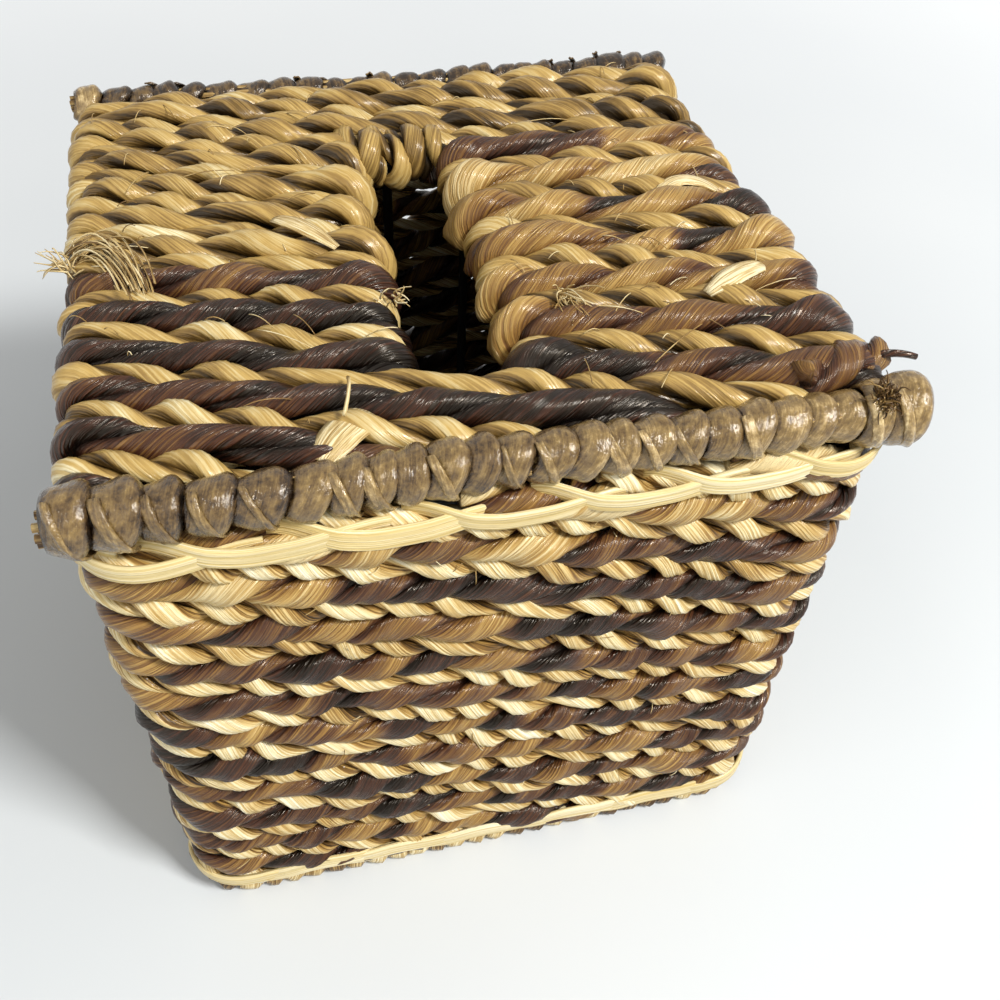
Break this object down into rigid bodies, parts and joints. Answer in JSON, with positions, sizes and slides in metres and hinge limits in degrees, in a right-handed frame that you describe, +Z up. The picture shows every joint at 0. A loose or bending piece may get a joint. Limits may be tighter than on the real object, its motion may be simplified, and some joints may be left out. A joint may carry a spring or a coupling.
{
  "type": "tissue box cover",
  "caption": "Open-bottomed cube cover for a box of tissues, of pale and dark plant-fibre ropes woven on a wire cage, with rolled rims and a slot in the top",
  "frame": {"origin": "middle of the footprint, on the surface that the cover stands on", "axes": "+Z up, front rim at -Y, slot runs along Y, +X to the right seen from the front"},
  "size_m": [0.1496, 0.1474, 0.1412],
  "materials": {
    "cage_wire": "satin black paint",
    "pale_rope": "twisted sea grass, straw yellow, waxed",
    "dark_rope": "twisted banana bark, near black to red-brown, glossy",
    "brown_rope": "twisted banana bark, mid brown, glossy",
    "rim_bark": "flat bark strips, grey-brown, lacquered",
    "rim_fibre": "bundled fibre with cut ends",
    "rattan": "peeled rattan strip, straw yellow",
    "border_leaf": "overcast leaf strips, mixed straw and brown"
  },
  "bodies": {
    "root": {"back_rim_core": "rim_fibre", "back_rim_wraps": "rim_bark", "back_stakes": "cage_wire", "base_border": "border_leaf", "base_wire": "cage_wire", "corner_posts": "cage_wire", "dark_side_rope_01": "dark_rope", "dark_side_rope_02": "dark_rope", "dark_side_rope_03": "dark_rope", "dark_side_rope_04": "dark_rope", "dark_side_rope_05": "dark_rope", "dark_side_rope_06": "dark_rope", "dark_side_rope_07": "dark_rope", "dark_side_rope_08": "dark_rope", "dark_side_rope_09": "dark_rope", "dark_side_rope_10": "dark_rope", "dark_side_rope_11": "dark_rope", "front_rim_core": "rim_fibre", "front_rim_wraps": "rim_bark", "front_stakes": "cage_wire", "left_stakes": "cage_wire", "lower_rattan_inside": "rattan", "lower_rattan_outside": "rattan", "pale_side_rope_01": "pale_rope", "pale_side_rope_02": "pale_rope", "pale_side_rope_03": "pale_rope", "pale_side_rope_04": "pale_rope", "pale_side_rope_05": "pale_rope", "pale_side_rope_06": "pale_rope", "pale_side_rope_07": "pale_rope", "pale_side_rope_08": "pale_rope", "pale_side_rope_09": "pale_rope", "pale_side_rope_10": "pale_rope", "pale_side_rope_11": "pale_rope", "right_stakes": "cage_wire", "slot_end_bars": "cage_wire", "slot_rods": "cage_wire", "top_back_row_1": "pale_rope", "top_back_row_2": "pale_rope", "top_back_row_3": "pale_rope", "top_back_row_4": "pale_rope", "top_back_row_5": "pale_rope", "top_front_row_1": "pale_rope", "top_front_row_2": "dark_rope", "top_front_row_3": "pale_rope", "top_front_row_4": "dark_rope", "top_front_row_5": "pale_rope", "top_front_row_6": "dark_rope", "top_left_dark_rows": "dark_rope", "top_left_pale_rows": "pale_rope", "top_right_dark_rows": "brown_rope", "top_right_pale_rows": "pale_rope", "top_rods": "cage_wire", "top_wire": "cage_wire", "upper_rattan_inside": "rattan", "upper_rattan_outside": "rattan"}
  },
  "joints": []
}
